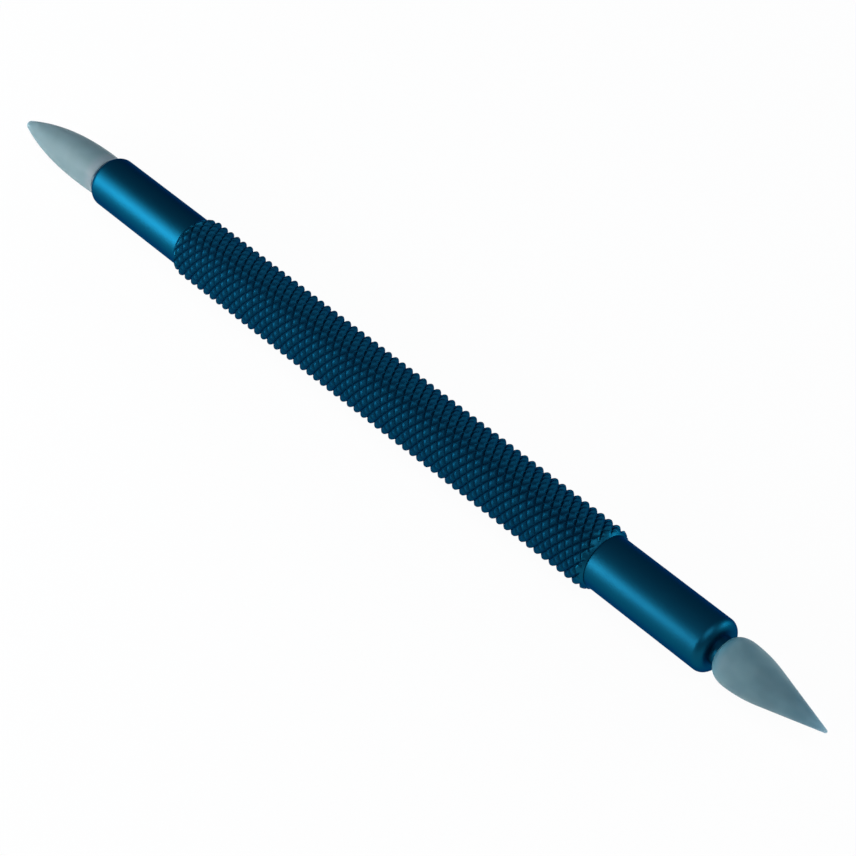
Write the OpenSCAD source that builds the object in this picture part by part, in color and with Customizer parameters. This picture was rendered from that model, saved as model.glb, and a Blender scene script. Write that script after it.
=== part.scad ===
// Double-ended hand tool: a knurled aluminium handle with a soft silicone tip on each end.
// It lies along X, halfway between its two points at X = 0, the front tip towards +X.
// It rests on Z = 0 on two neighbouring rows of its knurl.

/* [Handle] */
// Diameter of the plain turned ends
barrel_d = 8; // [7:0.1:12]
// Length of the plain end beside the front tip
front_barrel_l = 20.7; // [12:0.1:40]
// Length of the plain end beside the rear tip
rear_barrel_l = 21.1; // [12:0.1:40]
// Radius of the rounded edge at both ends of the handle
end_round = 1.3; // [0.3:0.1:1.4]

/* [Knurled grip] */
// Length of the grip, shoulders included
grip_l = 87; // [40:0.5:120]
// Height of the knurl's points above the plain ends
knurl_rise = 0.8; // [0.65:0.05:1.2]
// Depth of the grooves between the points
groove_depth = 0.5; // [0.3:0.05:0.6]
// Distance from one point to the next along the handle
knurl_pitch = 1.475; // [1.2:0.005:3]
// Number of spiral grooves of each hand
knurl_starts = 13; // [10:1:20]
// Length of the sloping shoulder at each end of the grip
shoulder_l = 0.75; // [0.4:0.05:2]

/* [Necks and spigots] */
// Diameter of the neck between the handle and each tip
neck_d = 4.2; // [3.6:0.1:4.8]
// Length of the neck at the front, from the handle's end face to the tip
front_neck_l = 1; // [0.5:0.1:3]
// Length of the neck at the rear, which the tip almost covers
rear_neck_l = 0.4; // [0.3:0.1:3]
// Diameter of the spigot inside each tip
spigot_d = 3; // [2:0.1:3.4]
// Length of each spigot beyond its neck
spigot_l = 7; // [4:0.5:8]

/* [Front tip] */
// Largest diameter of the teardrop
front_tip_d = 6.8; // [6:0.1:9]
// Length of the teardrop from its base to its point
front_tip_l = 17.4; // [16:0.1:30]
// Diameter of the flat base, around the spigot
front_tip_base_d = 4.2; // [3.8:0.1:5]
// Distance from the base to the widest place
front_tip_belly = 2.4; // [1.5:0.1:4]
// Angle between the side of the point and the axis
front_tip_angle = 14.5; // [12:0.5:16]
// Radius of the very end of the point
front_tip_nose_r = 0.25; // [0.15:0.05:0.6]

/* [Rear tip] */
// Largest diameter of the bullet
rear_tip_d = 6.6; // [6:0.1:9]
// Length of the bullet from its base to its rounded end
rear_tip_l = 19.7; // [15:0.1:30]
// Distance from the base to the widest place
rear_tip_belly = 2.2; // [1.5:0.1:4]
// How far the side draws in from the widest place to the base
rear_tip_tuck = 0.2; // [0.1:0.05:1]
// Radius of the rounded end
rear_tip_nose_r = 0.6; // [0.4:0.05:1.2]
// How far the rounded end bends away from the axis
rear_tip_bend = 0.8; // [0:0.1:3]
// Direction of the bend, turned about the handle from straight up
rear_tip_bend_angle = 125; // [0:1:359]

/* [Hidden] */

barrel_r = barrel_d / 2;
neck_r = neck_d / 2;
spigot_r = spigot_d / 2;
// Distance of each end face from the middle of the grip
front_face_x = grip_l / 2 + front_barrel_l;
rear_face_x = grip_l / 2 + rear_barrel_l;
// Distance of each point of the tool from the middle of the grip
front_reach = front_face_x + front_neck_l + front_tip_l;
rear_reach = rear_face_x + rear_neck_l + rear_tip_l;
// Place of the middle of the grip, with the two points equally far from X = 0
grip_x = (rear_reach - front_reach) / 2;

// The knurl is a grid of points: each ring is half a pitch from the next, and each ring has
// two points for every groove of one hand. High points and groove crossings alternate.
crest_r = barrel_r + knurl_rise;
groove_r = crest_r - groove_depth;
knurl_l = grip_l - 2 * shoulder_l;
rows = round(knurl_l / knurl_pitch);
ring_gap = knurl_l / rows / 2;
ring_count = 2 * rows + 1;
sides = 2 * knurl_starts;
side_angle = 360 / sides;
// The shoulder starts just outside the plain end, and the first points are cut lower by it
shoulder_r = barrel_r + 0.1;
end_crest_r = (groove_r + crest_r) / 2;

// Height of the axis with two rows of points resting on the ground
axis_z = crest_r * cos(side_angle / 2);

// The softened end of each spigot
spigot_chamfer = 0.3;
// Space left beyond the spigot at the bottom of each tip's bore
bore_room = 0.4;
// How the bullet narrows along its length, and how its bend grows
ogive_power = 2.4;
bend_power = 1.5;

arc_steps = 8;
tip_sides = 32;
revolve_fn = 96;

function arc(centre, radii, from, to, steps = arc_steps) = [
    for (i = [0:steps])
        let (a = from + (to - from) * i / steps)
            [centre[0] + radii[0] * cos(a), centre[1] + radii[1] * sin(a)]
];

// Places a piece drawn about the middle of the grip, with the handle's axis along X
module at_grip() {
    translate([grip_x, 0, axis_z]) children();
}

// One turned end of the handle, as [radius, distance from the middle] from the spigot's end
// back to the plain barrel
function handle_end(face, neck_l) = let (spigot_end = face + neck_l + spigot_l)
    concat(
        [
            [0, spigot_end],
            [spigot_r - spigot_chamfer, spigot_end],
            [spigot_r, spigot_end - spigot_chamfer],
            [spigot_r, face + neck_l],
            [neck_r, face + neck_l],
            [neck_r, face]
        ],
        arc([barrel_r - end_round, face - end_round], [end_round, end_round], 90, 0)
    );

function mirrored(points) = [
    for (i = [len(points) - 1:-1:0]) [points[i][0], -points[i][1]]
];

// Radius of the knurl's grid at ring j and side k
function knurl_r(j, k) =
    (j + k) % 2 == 1 ? groove_r
    : j == 0 || j == ring_count - 1 ? end_crest_r
    : crest_r;

// One ring of the grip; the sides are turned half a step so that a flat strip faces down
function ring(x, radii) = [
    for (k = [0:sides - 1])
        let (a = (k + 0.5) * side_angle)
            [x, radii[k] * sin(a), radii[k] * cos(a)]
];

// The knurled sleeve: a plain foot ring, the rings of points, a plain foot ring, two caps
module knurl() {
    foot = [for (k = [0:sides - 1]) shoulder_r];
    rings = concat(
        [ring(-grip_l / 2, foot)],
        [
            for (j = [0:ring_count - 1])
                ring(-knurl_l / 2 + j * ring_gap, [for (k = [0:sides - 1]) knurl_r(j, k)])
        ],
        [ring(grip_l / 2, foot)]
    );
    last = len(rings) - 1;
    rear_hub = len(rings) * sides;
    front_hub = rear_hub + 1;
    points = concat([for (r = rings) each r], [[-grip_l / 2, 0, 0], [grip_l / 2, 0, 0]]);
    // Each four-sided field is folded along its groove, which joins its two low corners
    walls = [
        for (j = [0:last - 1], k = [0:sides - 1])
            let (
                a = j * sides + k,
                b = j * sides + (k + 1) % sides,
                c = b + sides,
                d = a + sides,
                folded = (j + k) % 2 == 1
            )
                each (folded ? [[a, b, d], [b, c, d]] : [[a, b, c], [a, c, d]])
    ];
    caps = [
        for (k = [0:sides - 1])
            each [
                [rear_hub, (k + 1) % sides, k],
                [front_hub, last * sides + k, last * sides + (k + 1) % sides]
            ]
    ];
    polyhedron(points, concat(walls, caps), convexity = 6);
}

// The whole handle is turned from one bar and knurled
module handle() {
    color([0.04, 0.30, 0.44]) at_grip() {
        rotate([0, 90, 0])
            rotate_extrude($fn = revolve_fn)
                polygon(concat(
                    handle_end(front_face_x, front_neck_l),
                    mirrored(handle_end(rear_face_x, rear_neck_l))
                ));
        knurl();
    }
}

// Half outline of the teardrop: rounded base, belly, long arc into the cone, sharp nose
function teardrop() = let (
        belly_r = front_tip_d / 2,
        base_r = front_tip_base_d / 2,
        nose_z = front_tip_l - front_tip_nose_r,
        // where the cone leaves the nose
        end_r = front_tip_nose_r * cos(front_tip_angle),
        end_z = nose_z + front_tip_nose_r * sin(front_tip_angle),
        // the arc that is tangent to the belly and to the cone
        cone_r = end_r + (end_z - front_tip_belly) * tan(front_tip_angle),
        arc_r = (cone_r - belly_r) / (1 / cos(front_tip_angle) - 1)
    )
    concat(
        arc([base_r, front_tip_belly], [belly_r - base_r, front_tip_belly], 270, 360),
        arc([belly_r - arc_r, front_tip_belly], [arc_r, arc_r], 0, front_tip_angle),
        arc([0, nose_z], [front_tip_nose_r, front_tip_nose_r], front_tip_angle, 90, 5)
    );

// Moulded soft tip for fine work, pushed over the front spigot
module front_tip() {
    bore_l = spigot_l + bore_room;
    color([0.42, 0.58, 0.62])
        at_grip()
            translate([front_face_x + front_neck_l, 0, 0])
                rotate([0, 90, 0])
                    rotate_extrude($fn = revolve_fn)
                        difference() {
                            polygon(concat([[0, 0]], teardrop()));
                            square([spigot_r, bore_l]);
                        }
}

// Radius of the bullet at a distance from its base: rounded base, then a long ogive
function bullet_r(z) = let (
        belly_r = rear_tip_d / 2,
        ogive_l = rear_tip_l - rear_tip_nose_r - rear_tip_belly,
        back = 1 - z / rear_tip_belly,
        ahead = (z - rear_tip_belly) / ogive_l
    )
    z < rear_tip_belly
        ? belly_r - rear_tip_tuck * (1 - sqrt(1 - back * back))
        : belly_r - (belly_r - rear_tip_nose_r) * pow(ahead, ogive_power);

function bullet_bend(z) = rear_tip_bend * pow(z / rear_tip_l, bend_power);

// Rings of the bullet as [distance from the base, radius]
function bullet_rings() = let (
        nose_z = rear_tip_l - rear_tip_nose_r,
        base_steps = 6,
        side_steps = 14,
        nose_steps = 4
    )
    concat(
        [
            for (i = [0:base_steps - 1])
                let (z = rear_tip_belly * (1 - cos(90 * i / base_steps))) [z, bullet_r(z)]
        ],
        [
            for (i = [0:side_steps])
                let (z = rear_tip_belly + (nose_z - rear_tip_belly) * i / side_steps)
                    [z, bullet_r(z)]
        ],
        [
            for (i = [1:nose_steps - 1])
                let (a = 90 * i / nose_steps)
                    [nose_z + rear_tip_nose_r * sin(a), rear_tip_nose_r * cos(a)]
        ]
    );

// Solid bullet along +Z, its centre line bending towards +X
module bullet() {
    rings = bullet_rings();
    last = len(rings) - 1;
    base_hub = len(rings) * tip_sides;
    nose_hub = base_hub + 1;
    points = concat(
        [
            for (r = rings, k = [0:tip_sides - 1])
                let (a = 360 * k / tip_sides)
                    [bullet_bend(r[0]) + r[1] * cos(a), r[1] * sin(a), r[0]]
        ],
        [[0, 0, 0], [rear_tip_bend, 0, rear_tip_l]]
    );
    walls = [
        for (j = [0:last - 1], k = [0:tip_sides - 1])
            let (
                a = j * tip_sides + k,
                b = j * tip_sides + (k + 1) % tip_sides,
                c = b + tip_sides,
                d = a + tip_sides
            )
                each [[a, c, b], [a, d, c]]
    ];
    caps = [
        for (k = [0:tip_sides - 1])
            let (next = (k + 1) % tip_sides)
                each [
                    [base_hub, k, next],
                    [nose_hub, last * tip_sides + next, last * tip_sides + k]
                ]
    ];
    polyhedron(points, concat(walls, caps), convexity = 4);
}

// Moulded soft tip for broad work, pushed over the rear spigot
module rear_tip() {
    bore_l = spigot_l + bore_room;
    color([0.50, 0.64, 0.67])
        at_grip()
            translate([-rear_face_x - rear_neck_l, 0, 0])
                rotate([rear_tip_bend_angle, 0, 0])
                    rotate([0, -90, 0])
                        difference() {
                            bullet();
                            translate([0, 0, -1]) cylinder(r = spigot_r, h = bore_l + 1, $fn = revolve_fn);
                        }
}

handle();
front_tip();
rear_tip();
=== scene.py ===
import math

import bpy
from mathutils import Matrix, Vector


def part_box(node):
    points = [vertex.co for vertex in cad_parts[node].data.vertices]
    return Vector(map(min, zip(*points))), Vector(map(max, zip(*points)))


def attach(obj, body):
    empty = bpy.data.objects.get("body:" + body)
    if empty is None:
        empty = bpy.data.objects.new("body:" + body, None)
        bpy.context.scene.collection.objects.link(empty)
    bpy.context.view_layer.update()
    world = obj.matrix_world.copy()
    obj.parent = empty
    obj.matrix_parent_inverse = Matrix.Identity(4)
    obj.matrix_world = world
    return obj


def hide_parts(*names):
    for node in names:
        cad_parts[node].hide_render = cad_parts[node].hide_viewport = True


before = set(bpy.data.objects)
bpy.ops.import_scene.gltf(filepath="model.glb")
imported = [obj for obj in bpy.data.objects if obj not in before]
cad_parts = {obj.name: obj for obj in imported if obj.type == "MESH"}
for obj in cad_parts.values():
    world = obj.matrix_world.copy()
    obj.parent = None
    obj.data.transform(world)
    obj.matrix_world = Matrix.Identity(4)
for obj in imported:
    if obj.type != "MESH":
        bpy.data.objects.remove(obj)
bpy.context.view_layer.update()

# Camera. A long lens looks down on the tool from beyond its pointed end, about 40 cm away,
# and keeps the whole of it in a square picture.
azimuth = math.radians(48.99)
elevation = math.radians(42.18)
distance = 0.3973
aim = Vector((0.00972, -0.00029, 0.00456))
back = Vector((
    math.sin(azimuth) * math.cos(elevation),
    -math.cos(azimuth) * math.cos(elevation),
    math.sin(elevation),
))
camera = bpy.data.objects.new("camera", bpy.data.cameras.new("camera"))
camera.data.sensor_width = 36
camera.data.lens = 122.6
camera.location = aim + distance * back
camera.rotation_euler = back.to_track_quat("Z", "Y").to_euler()
bpy.context.collection.objects.link(camera)
bpy.context.scene.camera = camera

# Handle. One bar of aluminium, turned to its plain ends, necks and spigots, knurled by two
# sets of crossed grooves between them, then bead-blasted and anodised blue. It is one piece.
# Its sizes and those of the tips are in millimetres, and its long axis is x.
MM = 0.001
BODY = "root"
handle_low, handle_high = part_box("handle")
axis_z = handle_high.z / MM / 2
barrel_r = 4.0
end_round = 1.3
round_steps = 14
neck_r = 2.1
front_neck_l = 1.0
rear_neck_l = 0.4
spigot_r = 1.5
spigot_l = 7.0
spigot_chamfer = 0.3
grip_x = 1.05
grip_l = 87.0
crest_r = 4.8
groove_r = 4.3
shoulder_l = 0.75
shoulder_step = 0.1
shoulder_r = barrel_r + shoulder_step
knurl_pitch = 1.475
knurl_starts = 13
knurl_steps = 5
knurl_l = grip_l - 2 * shoulder_l
knurl_rows = 2 * round(knurl_l / knurl_pitch) * knurl_steps
knurl_extra = round(shoulder_l / (knurl_l / knurl_rows))
ridge_power = 1.9
sharp_angle = math.radians(40)
rear_face_x = handle_low.x / MM + spigot_l + rear_neck_l
front_face_x = handle_high.x / MM - spigot_l - front_neck_l


def arc(centre, radius, start, end, steps):
    """Points [distance along the axis, radius] on an arc, angles in degrees from the axis."""
    turns = [math.radians(start + (end - start) * i / steps) for i in range(steps + 1)]
    return [(centre[0] + radius * math.cos(a), centre[1] + radius * math.sin(a)) for a in turns]


def handle_end(neck_l):
    """The turned end as [distance beyond its face, radius], from the plain barrel outwards."""
    return [
        *arc((-end_round, barrel_r - end_round), end_round, 90, 0, round_steps),
        (0, neck_r),
        (neck_l, neck_r),
        (neck_l, spigot_r),
        (neck_l + spigot_l - spigot_chamfer, spigot_r),
        (neck_l + spigot_l, spigot_r - spigot_chamfer),
    ]


def ridge(turn):
    """Height between two grooves of one hand: 0 in a groove, 1 on the rounded ridge."""
    return 1 - (2 * abs(turn - round(turn))) ** ridge_power


def knurl_height(row, side):
    """Height of the crossed ridges: 1 on the points, 0 in the grooves of either hand."""
    return min(ridge((row + side) / 2), ridge((row - side) / 2))


def shoulder(inside):
    """Radius of the rounded shoulder at a distance inside the end of the grip."""
    left = min(1, max(0, 1 - inside / (2 * shoulder_l)))
    return shoulder_r + (crest_r - shoulder_r) * (1 - left * left)


def ring(x, radii):
    """One ring of points round the handle's axis, at x millimetres along it. It is turned by
    half the space between two columns of the knurl, so the grip rests evenly on two of them."""
    points = []
    for i, radius in enumerate(radii):
        turn = 2 * math.pi * (i + knurl_steps / 2) / len(radii)
        points.append((x, radius * math.sin(turn), axis_z + radius * math.cos(turn)))
    return points


def skin(name, rings, poles, fold=None):
    """A closed mesh through the rings, given in millimetres, with a fan of faces at each end.

    Where fold is given, it says for ring j and side k whether the face is split in two by its
    rising diagonal, its falling one, or not at all: 1, -1 or 0."""
    sides = len(rings[0])
    points = [p for r in rings for p in r]
    faces = []
    for j in range(len(rings) - 1):
        for k in range(sides):
            near = j * sides + k
            far = j * sides + (k + 1) % sides
            split = fold(j, k) if fold else 0
            if split == 0:
                faces.append((near, near + sides, far + sides, far))
            elif split == 1:
                faces.append((near, near + sides, far + sides))
                faces.append((near, far + sides, far))
            else:
                faces.append((near, near + sides, far))
                faces.append((near + sides, far + sides, far))
    last = (len(rings) - 1) * sides
    for k in range(sides):
        after = (k + 1) % sides
        faces.append((len(points), k, after))
        faces.append((len(points) + 1, last + after, last + k))
    mesh = bpy.data.meshes.new(name)
    places = [(x * MM, y * MM, z * MM) for x, y, z in points + list(poles)]
    mesh.from_pydata(places, [], faces)
    mesh.shade_smooth()
    mesh.set_sharp_from_angle(angle=sharp_angle)
    mesh.update()
    piece = bpy.data.objects.new(name, mesh)
    bpy.context.collection.objects.link(piece)
    return piece


def handle_rings():
    """Every ring of the bar, from the rear spigot through the knurl to the front spigot."""
    sides = 2 * knurl_starts * knurl_steps
    rear_end = reversed(handle_end(rear_neck_l))
    rings = [ring(rear_face_x - out, [r] * sides) for out, r in rear_end]
    rings.append(ring(grip_x - grip_l / 2, [barrel_r] * sides))
    for j in range(-knurl_extra, knurl_rows + knurl_extra + 1):
        x = -knurl_l / 2 + j * knurl_l / knurl_rows
        limit = shoulder(grip_l / 2 - abs(x))
        radii = []
        for i in range(sides):
            height = knurl_height(j / knurl_steps, i / knurl_steps)
            radii.append(min(limit, groove_r + (crest_r - groove_r) * height))
        rings.append(ring(grip_x + x, radii))
    rings.append(ring(grip_x + grip_l / 2, [barrel_r] * sides))
    rings += [ring(front_face_x + out, [r] * sides) for out, r in handle_end(front_neck_l)]
    return rings


def groove_fold(j, k):
    """Splits each face of the knurl along the groove that crosses it."""
    row = j - len(handle_end(rear_neck_l)) - 1 - knurl_extra
    if row < -knurl_extra or row >= knurl_rows + knurl_extra:
        return 0
    crossing = row // knurl_steps + k // knurl_steps
    return 1 if crossing % 2 else -1


class Wire:
    """An output socket in a material. Arithmetic on it adds the Math nodes."""

    def __init__(self, tree, socket=None):
        self.tree = tree
        self.socket = socket

    def node(self, kind, settings, inputs, output=0):
        """Adds a node: its settings first, then the value or link of each socket."""
        made = self.tree.nodes.new(kind)
        for name, value in settings.items():
            setattr(made, name, value)
        for name, value in inputs.items():
            if isinstance(value, Wire):
                self.tree.links.new(value.socket, made.inputs[name])
            else:
                made.inputs[name].default_value = value
        return Wire(self.tree, made.outputs[output])

    def math(self, operation, first, second):
        return self.node("ShaderNodeMath", {"operation": operation}, {0: first, 1: second})

    def __add__(self, other):
        return self.math("ADD", self, other)

    __radd__ = __add__

    def __sub__(self, other):
        return self.math("SUBTRACT", self, other)

    def __rsub__(self, other):
        return self.math("SUBTRACT", other, self)

    def __mul__(self, other):
        return self.math("MULTIPLY", self, other)

    __rmul__ = __mul__

    def __pow__(self, other):
        return self.math("POWER", self, other)

    def step(self, low, high):
        """0 below low, 1 above high, and a smooth rise between them."""
        return self.node(
            "ShaderNodeMapRange",
            {"interpolation_type": "SMOOTHSTEP"},
            {"Value": self, "From Min": low, "From Max": high},
        )

    def mix(self, first, second):
        """The first colour where this value is 0 and the second where it is 1."""
        return self.node(
            "ShaderNodeMix",
            {"data_type": "RGBA"},
            {"Factor": self, 6: first, 7: second},
            output=2,
        )


def surface(name, constants):
    """A new material, its Principled shader with these constants, and a wire to build on."""
    material = bpy.data.materials.new(name)
    material.use_nodes = True
    shader = material.node_tree.nodes["Principled BSDF"]
    for socket, value in constants.items():
        shader.inputs[socket].default_value = value
    return material, shader, Wire(material.node_tree)


def feed(shader, wires):
    """Joins each wire to the socket of the shader that it is named for."""
    for socket, wire in wires.items():
        wire.tree.links.new(wire.socket, shader.inputs[socket])


def place(wire):
    """The point on the surface, in millimetres in the frame: the vector and its x, y and z."""
    where = wire.node("ShaderNodeTexCoord", {}, {}, output="Object")
    scaled = wire.node("ShaderNodeVectorMath", {"operation": "SCALE"}, {0: where, "Scale": 1 / MM})
    parts = [wire.node("ShaderNodeSeparateXYZ", {}, {0: scaled}, output=i) for i in range(3)]
    return scaled, *parts


def anodised_blue():
    """Blue dyed oxide on blasted aluminium: satin, darker all over the knurl, with painted shade
    deeper in the knurl's grooves.
    """
    # The knurl is darker all over, and the groove value paints shade into its grooves.
    knurl_darkening = 0.28
    groove_shade = 0.1
    patchy_dye = 0.25
    smooth_edge = (grip_l / 2 - 1.0) ** 2
    knurl_edge = (grip_l / 2 - 1.8) ** 2
    thin_dye = (0.004, 0.078, 0.137, 1)
    # The dark end of the colour: for random darker patches, the darker knurl and the painted shade
    # in its grooves.
    dark_dye_and_shade = (0.0020, 0.030, 0.088, 1)
    material, shader, wire = surface("anodised_blue", {
        "Metallic": 1.0,
        "Specular IOR Level": 0.5,
        "Specular Tint": (0.02, 0.30, 0.50, 1),
    })
    point, x, y, z = place(wire)
    radius = (y * y + (z - axis_z) * (z - axis_z)) ** 0.5
    out = (x - grip_x) * (x - grip_x)
    knurled = 1 - out.step(knurl_edge, smooth_edge)
    depth = knurled * (1 - radius.step(groove_r, crest_r))
    tone = wire.node("ShaderNodeTexNoise", {}, {"Vector": point, "Scale": 0.35, "Detail": 3.0})
    grain = wire.node("ShaderNodeTexNoise", {}, {"Vector": point, "Scale": 9.0, "Detail": 2.0})
    # Darker in random patches and over the whole knurl, with painted shade deeper in its grooves.
    darker_share = knurl_darkening * knurled + groove_shade * depth + patchy_dye * tone
    blast = wire.node(
        "ShaderNodeBump",
        {},
        {"Strength": 0.12, "Distance": 0.02 * MM, "Height": grain},
    )
    feed(shader, {
        "Base Color": darker_share.mix(thin_dye, dark_dye_and_shade),
        "Roughness": 0.42 + 0.06 * grain + 0.15 * knurled,
        "Normal": blast,
    })
    return material


handle = skin("handle_bar", handle_rings(), [
    (handle_low.x / MM, 0, axis_z),
    (handle_high.x / MM, 0, axis_z),
], groove_fold)
handle.data.materials.append(anodised_blue())
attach(handle, BODY)
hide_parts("handle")

# Front tip. A teardrop moulded in soft milky silicone, with a sharp point for fine work.
# It is pushed over the front spigot up to the neck and holds there by its own stretch.
tip_sides = 96
bore_spare = 0.4
bore_l = spigot_l + bore_spare
base_steps = 10
bow_steps = 16
cone_steps = 12
nose_steps = 6
pole_gap = 8
front_tip_low, front_tip_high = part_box("front_tip")
front_tip_r = (front_tip_high.z - front_tip_low.z) / MM / 2
front_tip_l = (front_tip_high.x - front_tip_low.x) / MM
front_base_r = 2.1
front_belly = 2.4
front_angle = 14.5
front_nose_r = 0.25


def rounded_base(base_r, belly_r, belly):
    """The moulded base as [distance, radius], from its flat end round to the belly."""
    round_part = [math.radians(90 * i / base_steps) for i in range(base_steps + 1)]
    return [
        (belly * (1 - math.cos(a)), base_r + (belly_r - base_r) * math.sin(a))
        for a in round_part
    ]


def teardrop():
    """Outline of the teardrop: base, belly, one long arc into the cone, and the sharp nose.

    The last ring stays pole_gap degrees short of the very point, where a fan closes the mesh."""
    lean = math.radians(front_angle)
    nose_x = front_tip_l - front_nose_r
    cone_x = nose_x + front_nose_r * math.sin(lean)
    reach = front_nose_r * math.cos(lean) + (cone_x - front_belly) * math.tan(lean)
    bow_r = (reach - front_tip_r) / (1 / math.cos(lean) - 1)
    belly_arc = arc((front_belly, front_tip_r - bow_r), bow_r, 90, 90 - front_angle, bow_steps)
    start_x, start_r = belly_arc[-1]
    cone = []
    for i in range(1, cone_steps):
        ahead = (cone_x - start_x) * i / cone_steps
        cone.append((start_x + ahead, start_r - ahead * math.tan(lean)))
    return [
        *rounded_base(front_base_r, front_tip_r, front_belly)[:-1],
        *belly_arc,
        *cone,
        *arc((nose_x, 0), front_nose_r, 90 - front_angle, pole_gap, nose_steps),
    ]


def bore(outline):
    """The blind hole for the spigot, in front of the outline of a tip."""
    return [(bore_l, spigot_r), (bore_l / 2, spigot_r), (0, spigot_r), *outline]


def milky_silicone(name, base_x, away, length, milk, clear, rim):
    """Matt translucent silicone: milky, a little clouded and clearer where it is thin, and of
    another colour at its rim beside the metal: on the front tip a painted shade and painted
    reflection of the blue metal, on the rear tip paler."""
    material, shader, wire = surface(name, {
        "Subsurface Weight": 1.0,
        "Subsurface Radius": (1.0, 1.1, 1.2),
        "Subsurface Scale": 4.0 * MM,
        "Specular IOR Level": 0.4,
        "IOR": 1.41,
    })
    thinning = 0.5
    clouding = 0.4
    rim_strength = 0.9
    rim_fades = 0.4
    rim_ends = 2.2
    point, x = place(wire)[:2]
    along = away * (x - base_x)
    cloud = wire.node("ShaderNodeTexNoise", {}, {"Vector": point, "Scale": 0.35, "Detail": 1.0})
    grain = wire.node("ShaderNodeTexNoise", {}, {"Vector": point, "Scale": 14.0, "Detail": 2.0})
    thin = thinning * along.step(0.2 * length, length) + clouding * cloud.step(0.35, 0.65)
    # The rim beside the metal: on the front tip this is painted shade and painted reflection of the
    # blue metal.
    beside_metal = rim_strength * (1 - along.step(rim_fades, rim_ends))
    matt = wire.node("ShaderNodeBump", {}, {"Strength": 0.1, "Distance": 0.02 * MM, "Height": grain})
    feed(shader, {
        "Base Color": beside_metal.mix(thin.mix(milk, clear), rim),
        "Roughness": 0.5 + 0.1 * cloud,
        "Normal": matt,
    })
    return material


def tip_piece(name, node, base_x, away, outline, sag, material):
    """A tip about its spigot: the outline turned round the axis, with its centre line bent."""
    rings = []
    for x, radius in bore(outline):
        points = []
        for p in ring(base_x + away * x, [radius] * tip_sides):
            points.append((p[0], p[1] + sag(x)[0], p[2] + sag(x)[1]))
        rings.append(points)
    end = max(x for x, radius in outline)
    poles = [
        (base_x + away * bore_l, 0, axis_z),
        (base_x + away * end, sag(end)[0], axis_z + sag(end)[1]),
    ]
    if away > 0:
        piece = skin(name, rings, poles)
    else:
        piece = skin(name, rings[::-1], poles[::-1])
    piece.data.materials.append(material)
    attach(piece, BODY)
    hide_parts(node)


front_base_x = front_tip_low.x / MM
front_milk = (0.128, 0.230, 0.258, 1)
front_clear = (0.078, 0.160, 0.194, 1)
# Painted shade and painted reflection of the blue metal, at the front tip's rim.
front_rim_shade_and_reflection = (0.040, 0.160, 0.215, 1)
tip_piece(
    "teardrop_tip", "front_tip", front_base_x, 1, teardrop(), lambda x: (0, 0),
    milky_silicone(
        "front_silicone", front_base_x, 1, front_tip_l, front_milk, front_clear, front_rim_shade_and_reflection,
    ),
)

# Rear tip. A bullet of the same silicone with a rounded end, for broad work. It is pushed on
# like the other, and its end has bent a little to one side.
rear_tip_low, rear_tip_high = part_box("rear_tip")
rear_base_x = rear_tip_high.x / MM
rear_tip_l = (rear_tip_high.x - rear_tip_low.x) / MM
rear_tip_r = 3.3
rear_base_r = 3.1
rear_belly = 2.2
rear_nose_r = 0.7
rear_angle = 20.5
rear_nose_gap = 6
rear_nose_steps = 8
rear_bend = 0.8
bend_power = 1.5
bend_turn = math.radians(125)
ogive_power = 2.4
ogive_steps = 32


def bullet():
    """Outline of the bullet: base, belly, and a long ogive that runs into the rounded nose."""
    lean = math.radians(rear_angle)
    nose_x = rear_tip_l - rear_nose_r
    ogive_l = nose_x + rear_nose_r * math.sin(lean) - rear_belly
    drop = rear_tip_r - rear_nose_r * math.cos(lean)
    nose_start = 90 - rear_angle - rear_nose_gap
    sides = []
    for i in range(1, ogive_steps + 1):
        ahead = i / ogive_steps
        sides.append((rear_belly + ogive_l * ahead, rear_tip_r - drop * ahead ** ogive_power))
    return [
        *rounded_base(rear_base_r, rear_tip_r, rear_belly),
        *sides,
        *arc((nose_x, 0), rear_nose_r, nose_start, pole_gap, rear_nose_steps),
    ]


def bullet_sag(x):
    """How far the bullet's centre line has moved sideways and up at a distance from its base."""
    out = rear_bend * (x / rear_tip_l) ** bend_power
    return -out * math.sin(bend_turn), out * math.cos(bend_turn)


rear_milk = (0.136, 0.211, 0.229, 1)
rear_clear = (0.106, 0.172, 0.188, 1)
rear_rim = (0.180, 0.230, 0.252, 1)
tip_piece(
    "bullet_tip", "rear_tip", rear_base_x, -1, bullet(), bullet_sag,
    milky_silicone(
        "rear_silicone", rear_base_x, -1, rear_tip_l, rear_milk, rear_clear, rear_rim,
    ),
)

# Studio. A white floor under the tool and a dim bluish room. Two soft lights stand low beside
# the rear end, one hangs high over the pointed end, and one stands low behind it.
floor_r = 4.0
floor_sides = 72
floor_turns = [2 * math.pi * i / floor_sides for i in range(floor_sides)]
floor_rim = [(floor_r * math.cos(turn), floor_r * math.sin(turn), 0) for turn in floor_turns]
floor_mesh = bpy.data.meshes.new("floor")
floor_mesh.from_pydata(floor_rim, [], [tuple(range(floor_sides))])
floor = bpy.data.objects.new("floor", floor_mesh)
bpy.context.collection.objects.link(floor)
pale, pale_shader, wire = surface("white_floor", {
    "Base Color": (0.90, 0.90, 0.90, 1),
    "Roughness": 0.9,
    "Specular IOR Level": 0.1,
})

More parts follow.
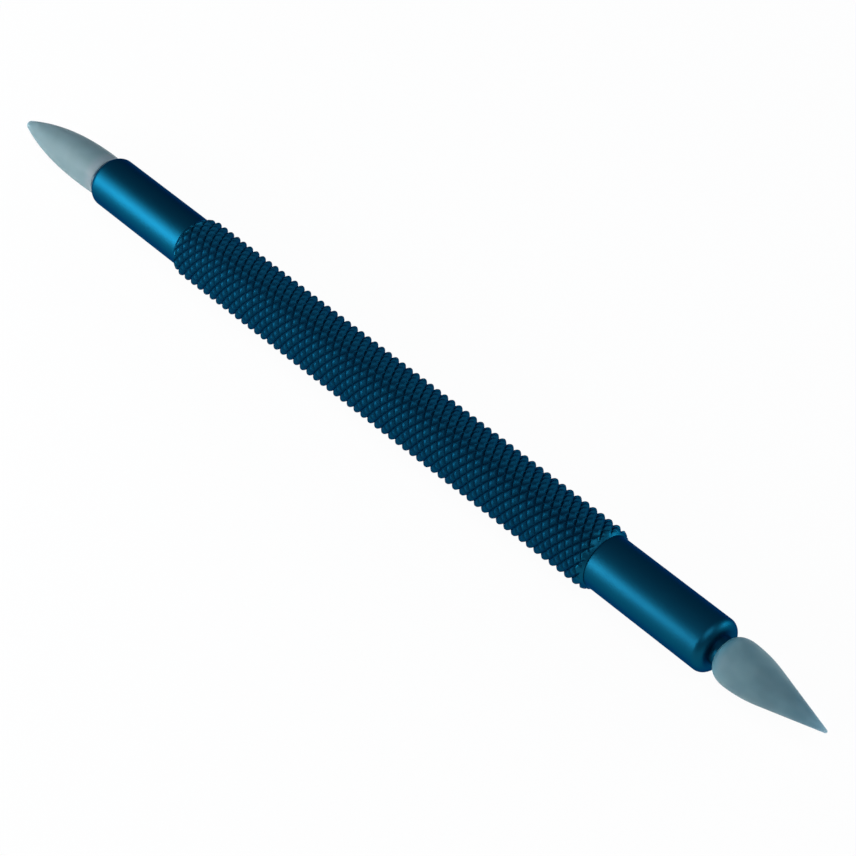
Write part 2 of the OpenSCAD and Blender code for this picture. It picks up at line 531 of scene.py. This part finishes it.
# To the camera and in the metal, the floor is nearly all plain white, with a little of its lit
# surface left for the tool's shadow. All other light meets the matt surface alone.
white = wire.node("ShaderNodeEmission", {}, {"Color": (1, 1, 1, 1), "Strength": 1.0})
seen = [
    wire.node("ShaderNodeLightPath", {}, {}, output=ray)
    for ray in ("Is Camera Ray", "Is Glossy Ray", "Is Transmission Ray")
]
floor_glow = 0.96
glow = floor_glow * (seen[0] + seen[1] + seen[2])
lit = Wire(wire.tree, pale_shader.outputs[0])
both = wire.node("ShaderNodeMixShader", {}, {0: glow, 1: lit, 2: white})
wire.tree.links.new(both.socket, wire.tree.nodes["Material Output"].inputs["Surface"])
floor.data.materials.append(pale)


def softbox(name, position, target, width, height, power):
    """A rectangular soft light in metres and watts, its long side level, facing the target."""
    data = bpy.data.lights.new(name, "AREA")
    data.shape = "RECTANGLE"
    data.size = width
    data.size_y = height
    data.energy = power
    lamp = bpy.data.objects.new(name, data)
    lamp.location = position
    facing = Vector(position) - Vector(target)
    lamp.rotation_euler = facing.to_track_quat("Z", "Y").to_euler()
    bpy.context.collection.objects.link(lamp)


softbox("front_strip", (-0.165, -0.24, 0.075), (-0.02, 0, 0.005), 0.22, 0.12, 0.80)
softbox("left_near", (-0.20, -0.13, 0.085), (-0.07, 0, 0.005), 0.12, 0.12, 0.15)
softbox("overhead", (0.40, -0.20, 0.90), (0, 0, 0), 0.70, 0.70, 4.0)
softbox("back_low", (0.56, 0.86, 0.32), (0, 0, 0), 0.60, 0.40, 4.8)

world = bpy.data.worlds.new("studio")
world.use_nodes = True
bpy.context.scene.world = world
sky = Wire(world.node_tree)
direction = sky.node("ShaderNodeTexCoord", {}, {}, output="Generated")
up = sky.node("ShaderNodeSeparateXYZ", {}, {0: direction}, output=2)
horizon = (0.045, 0.055, 0.070, 1)
ceiling = (0.130, 0.170, 0.230, 1)
haze_top = 0.05
ceiling_edge = 0.35
shade = up.step(haze_top, ceiling_edge).mix(horizon, ceiling)
world.node_tree.links.new(shade.socket, world.node_tree.nodes["Background"].inputs["Color"])

bpy.context.scene.view_settings.view_transform = "Standard"
